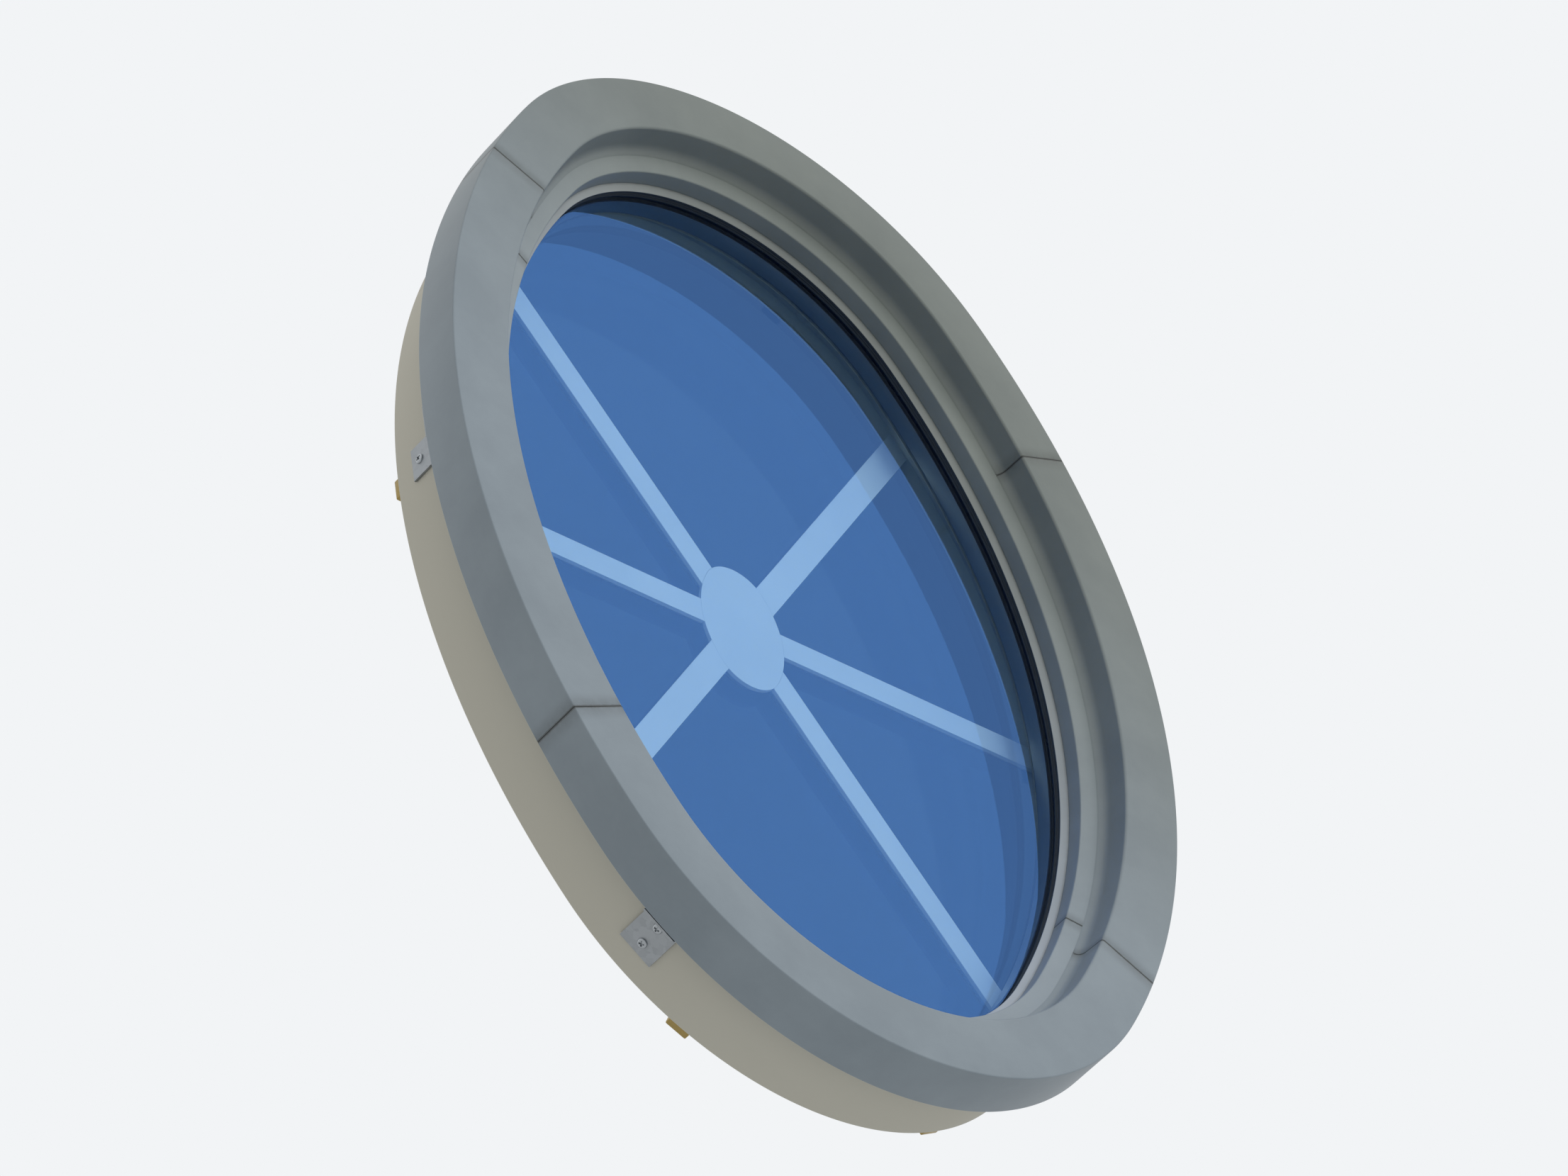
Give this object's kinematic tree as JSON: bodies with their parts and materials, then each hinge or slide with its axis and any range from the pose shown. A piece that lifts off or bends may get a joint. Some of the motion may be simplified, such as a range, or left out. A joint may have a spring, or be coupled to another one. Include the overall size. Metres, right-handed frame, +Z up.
{
  "type": "oval oculus window",
  "caption": "Fixed oval window with a deep moulded casing, a sealed glazing unit and a room-side spoked grille in front of a blue-tinted pane.",
  "frame": {"origin": "centre of the oval, in the plane of the wall's face that the fixing clips lie on", "axes": "+X to the right seen from outside, +Y into the building, +Z up"},
  "size_m": [0.66, 0.113, 0.9499],
  "materials": {
    "casing_paint": "satin greige exterior paint on milled wood",
    "frame_paint": "satin greige exterior paint on laminated wood",
    "bead_paint": "satin pale greige paint",
    "room_paint": "satin off-white interior paint",
    "grille_paint": "satin white paint",
    "spline_wood": "bare milled hardwood",
    "clip_steel": "galvanised sheet",
    "black_rubber": "matte black glazing rubber",
    "spacer_aluminium": "dull folded strip",
    "clear_glass": "clear float glass with a faint blue coating",
    "blue_glass": "deep blue body-tinted glass",
    "button_brass": "satin lacquered brass"
  },
  "bodies": {
    "root": {"casing_right": "casing_paint", "casing_top": "casing_paint", "casing_left": "casing_paint", "casing_bottom": "casing_paint", "casing_splines": "spline_wood", "frame_upper": "frame_paint", "frame_lower": "frame_paint", "frame_splines": "spline_wood", "fixing_clips": "clip_steel", "glazing_bead": "bead_paint", "front_gasket": "black_rubber", "outer_pane": "clear_glass", "spacer": "spacer_aluminium", "inner_pane": "clear_glass", "setting_blocks": "black_rubber", "interior_stop": "room_paint", "grille_hub": "grille_paint", "grille_bar_right": "grille_paint", "grille_bar_upper_right": "grille_paint", "grille_bar_upper_left": "grille_paint", "grille_bar_left": "grille_paint", "grille_bar_lower_left": "grille_paint", "grille_bar_lower_right": "grille_paint", "room_pane": "blue_glass", "turn_buttons": "button_brass"}
  },
  "joints": []
}
